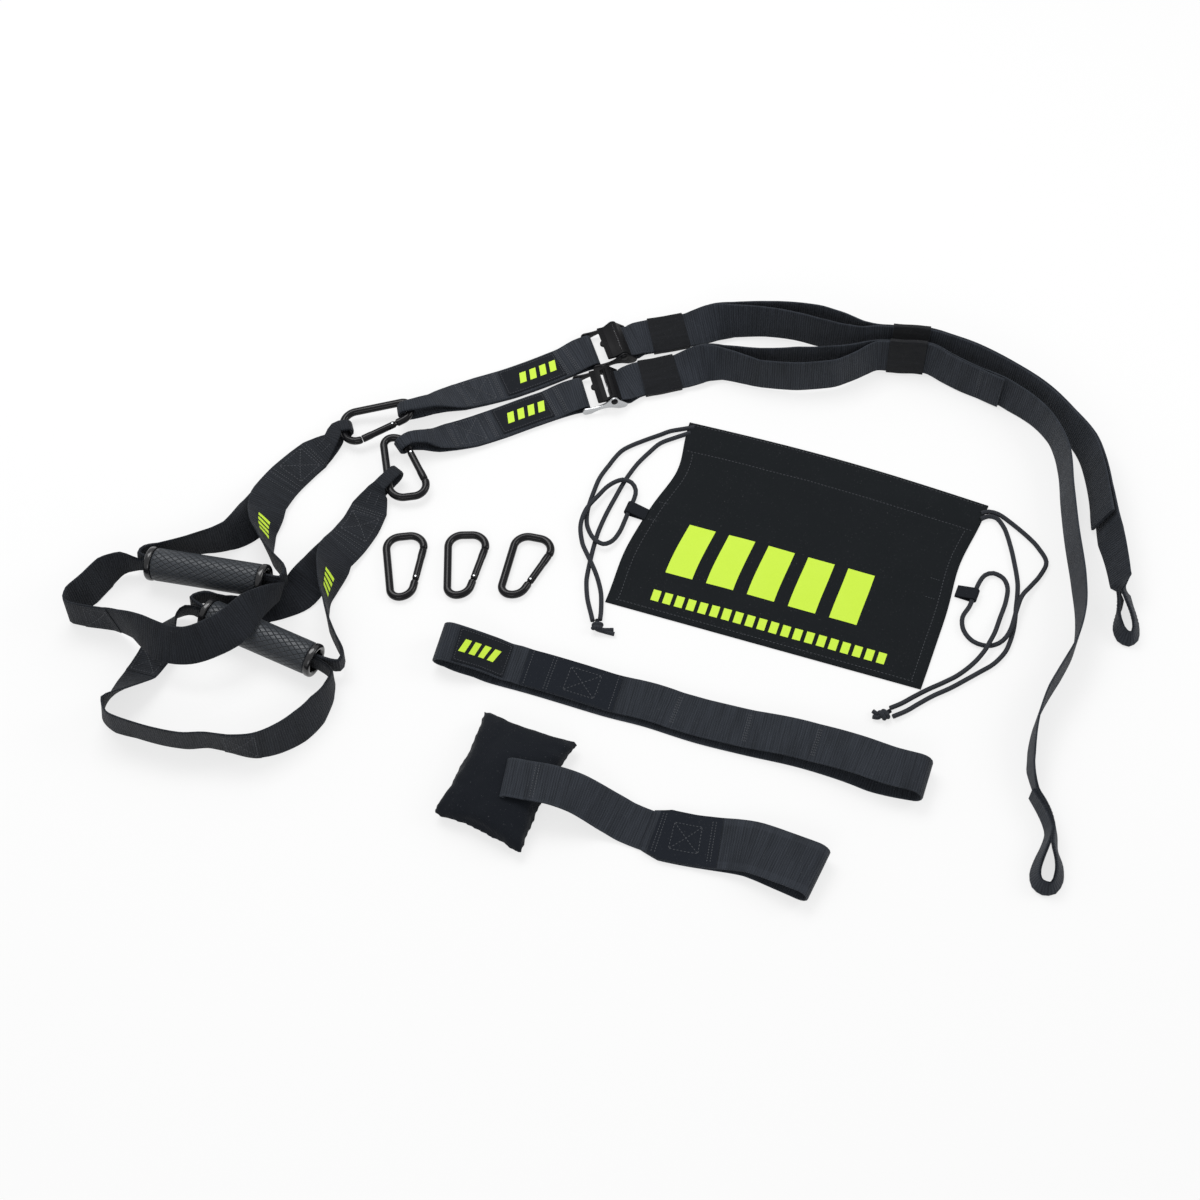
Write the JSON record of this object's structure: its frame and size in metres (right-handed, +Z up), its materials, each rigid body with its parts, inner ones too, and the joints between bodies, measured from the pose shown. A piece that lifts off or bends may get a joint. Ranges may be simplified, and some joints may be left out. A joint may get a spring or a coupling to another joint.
{
  "type": "suspension trainer",
  "caption": "Two adjustable webbing straps with cam buckles and foot-loop handles on carabiners, laid out with a drawstring bag, loop anchor, door anchor and spare carabiners.",
  "frame": {"origin": "centre of the layout's bounding box on the surface that it lies on, cords left out", "axes": "+X along the straps, from the handles to the anchor eyes; +Y away from the viewer; +Z up"},
  "size_m": [1.0082, 0.667, 0.0643],
  "materials": {
    "bag_cloth": "matte",
    "bare_steel": "satin",
    "black_fabric": "matte woven",
    "black_steel": "satin",
    "cord_black": "matte braided",
    "elastic_band": "matte knitted",
    "gloss_black_alloy": "gloss",
    "gloss_black_plastic": "gloss",
    "grip_rubber": "matte knurled",
    "pad_cloth": "matte",
    "spring_steel": "bright",
    "webbing": "matte woven"
  },
  "bodies": {
    "straps": {"front_buckle_frame": "black_steel", "front_buckle_pin": "black_steel", "front_buckle_spring": "spring_steel", "back_buckle_frame": "black_steel", "back_buckle_pin": "black_steel", "back_buckle_spring": "spring_steel", "front_main_strap": "webbing", "front_keeper_near": "elastic_band", "front_keeper_far": "elastic_band", "back_main_strap": "webbing", "back_keeper_near": "elastic_band", "back_keeper_far": "elastic_band", "back_short_strap": "webbing", "back_label": "black_fabric", "front_short_strap": "webbing", "front_label": "black_fabric"},
    "front_buckle_lever": {"front_buckle_lever": "black_steel"},
    "back_buckle_lever": {"back_buckle_lever": "black_steel"},
    "back_carabiner": {"back_carabiner_body": "gloss_black_alloy", "back_carabiner_gate_pin": "bare_steel"},
    "back_carabiner_gate": {"back_carabiner_gate": "gloss_black_alloy"},
    "front_carabiner": {"front_carabiner_body": "gloss_black_alloy", "front_carabiner_gate_pin": "bare_steel"},
    "front_carabiner_gate": {"front_carabiner_gate": "gloss_black_alloy"},
    "back_grip": {"back_grip_sleeve": "grip_rubber", "back_grip_tube": "gloss_black_plastic", "back_end_cap_right": "gloss_black_plastic", "back_end_cap_left": "gloss_black_plastic"},
    "front_grip": {"front_grip_sleeve": "grip_rubber", "front_grip_tube": "gloss_black_plastic", "front_end_cap_right": "gloss_black_plastic", "front_end_cap_left": "gloss_black_plastic"},
    "back_handle": {"back_hand_strap": "webbing", "back_foot_loop": "webbing"},
    "front_handle": {"front_hand_strap": "webbing", "front_foot_loop": "webbing"},
    "spare_carabiner_1": {"spare_carabiner_1_body": "gloss_black_alloy", "spare_carabiner_1_gate_pin": "bare_steel"},
    "spare_carabiner_1_gate": {"spare_carabiner_1_gate": "gloss_black_alloy"},
    "spare_carabiner_2": {"spare_carabiner_2_body": "gloss_black_alloy", "spare_carabiner_2_gate_pin": "bare_steel"},
    "spare_carabiner_2_gate": {"spare_carabiner_2_gate": "gloss_black_alloy"},
    "spare_carabiner_3": {"spare_carabiner_3_body": "gloss_black_alloy", "spare_carabiner_3_gate_pin": "bare_steel"},
    "spare_carabiner_3_gate": {"spare_carabiner_3_gate": "gloss_black_alloy"},
    "bag": {"bag": "bag_cloth", "bag_tab_left": "black_fabric", "bag_tab_right": "black_fabric", "drawcord_left_inner": "cord_black", "drawcord_left_outer": "cord_black", "drawcord_right_inner": "cord_black", "drawcord_right_outer": "cord_black", "knot_left": "cord_black", "knot_right": "cord_black"},
    "anchor_strap": {"anchor_strap": "webbing", "anchor_label": "black_fabric"},
    "door_anchor": {"door_pad": "pad_cloth", "door_strap": "webbing"}
  },
  "joints": [
    {"name": "front_cam", "type": "hinge", "parent": "straps", "child": "front_buckle_lever", "pos_m": [0.00762, 0.2358, 0.0136], "axis": [0.2419, -0.9703, 0], "range_deg": [0, 25], "stiffness_Nm_per_rad": 0.02},
    {"name": "back_cam", "type": "hinge", "parent": "straps", "child": "back_buckle_lever", "pos_m": [0.01648, 0.29228, 0.0136], "axis": [0.2924, -0.9563, 0], "range_deg": [0, 25], "stiffness_Nm_per_rad": 0.02},
    {"name": "back_carabiner_swing", "type": "hinge", "parent": "straps", "child": "back_carabiner", "pos_m": [-0.19026, 0.20229, 0.01758], "axis": [-0.1564, 0.9877, 0], "range_deg": [0, 25]},
    {"name": "front_carabiner_swing", "type": "hinge", "parent": "straps", "child": "front_carabiner", "pos_m": [-0.1935, 0.16113, 0.01479], "axis": [-0.541, 0.8363, 0.0891], "range_deg": [0, 20]},
    {"name": "back_handle_swing", "type": "hinge", "parent": "back_carabiner", "child": "back_handle", "pos_m": [-0.25632, 0.18302, 0.00895], "axis": [-0.1564, 0.9877, 0], "range_deg": [0, 25]},
    {"name": "front_handle_swing", "type": "hinge", "parent": "front_carabiner", "child": "front_handle", "pos_m": [-0.20879, 0.11879, 0.01092], "axis": [-0.1523, 0.9835, 0.0976], "range_deg": [0, 20]},
    {"name": "back_carabiner_gate_hinge", "type": "hinge", "parent": "back_carabiner", "child": "back_carabiner_gate", "pos_m": [-0.20722, 0.18381, 0.01509], "axis": [0.1238, 0.0196, -0.9921], "range_deg": [0, 25], "stiffness_Nm_per_rad": 0.01},
    {"name": "front_carabiner_gate_hinge", "type": "hinge", "parent": "front_carabiner", "child": "front_carabiner_gate", "pos_m": [-0.18795, 0.15022, 0.01365], "axis": [-0.0149, 0.0964, -0.9952], "range_deg": [0, 25], "stiffness_Nm_per_rad": 0.01},
    {"name": "spare_carabiner_1_gate_hinge", "type": "hinge", "parent": "spare_carabiner_1", "child": "spare_carabiner_1_gate", "pos_m": [-0.17783, 0.00945, 0.00385], "axis": [0, 0, 1], "range_deg": [0, 25], "stiffness_Nm_per_rad": 0.01},
    {"name": "spare_carabiner_2_gate_hinge", "type": "hinge", "parent": "spare_carabiner_2", "child": "spare_carabiner_2_gate", "pos_m": [-0.12205, 0.00994, 0.00385], "axis": [0, 0, 1], "range_deg": [0, 25], "stiffness_Nm_per_rad": 0.01},
    {"name": "spare_carabiner_3_gate_hinge", "type": "hinge", "parent": "spare_carabiner_3", "child": "spare_carabiner_3_gate", "pos_m": [-0.06785, 0.00627, 0.00385], "axis": [0, 0, 1], "range_deg": [0, 25], "stiffness_Nm_per_rad": 0.01},
    {"name": "back_grip_spin", "type": "hinge", "parent": "back_handle", "child": "back_grip", "pos_m": [-0.3731, 0.0025, 0.0235], "axis": [0.9633, -0.2473, 0.1045], "continuous": true},
    {"name": "front_grip_spin", "type": "hinge", "parent": "front_handle", "child": "front_grip", "pos_m": [-0.3186, -0.066, 0.017], "axis": [0.8973, -0.4415, 0], "continuous": true},
    {"name": "spare_carabiner_1_lift", "type": "slide", "parent": "straps", "child": "spare_carabiner_1", "axis": [0, 0, 1], "range_m": [0, 0.2]},
    {"name": "spare_carabiner_2_lift", "type": "slide", "parent": "straps", "child": "spare_carabiner_2", "axis": [0, 0, 1], "range_m": [0, 0.2]},
    {"name": "spare_carabiner_3_lift", "type": "slide", "parent": "straps", "child": "spare_carabiner_3", "axis": [0, 0, 1], "range_m": [0, 0.2]},
    {"name": "bag_lift", "type": "slide", "parent": "straps", "child": "bag", "axis": [0, 0, 1], "range_m": [0, 0.2]},
    {"name": "anchor_strap_lift", "type": "slide", "parent": "straps", "child": "anchor_strap", "axis": [0, 0, 1], "range_m": [0, 0.2]},
    {"name": "door_anchor_lift", "type": "slide", "parent": "straps", "child": "door_anchor", "axis": [0, 0, 1], "range_m": [0, 0.2]}
  ],
  "couplings": [
    {"joint": "front_carabiner_swing", "follows": "back_carabiner_swing", "ratio": 0.6},
    {"joint": "front_handle_swing", "follows": "back_handle_swing", "ratio": 0.5}
  ]
}
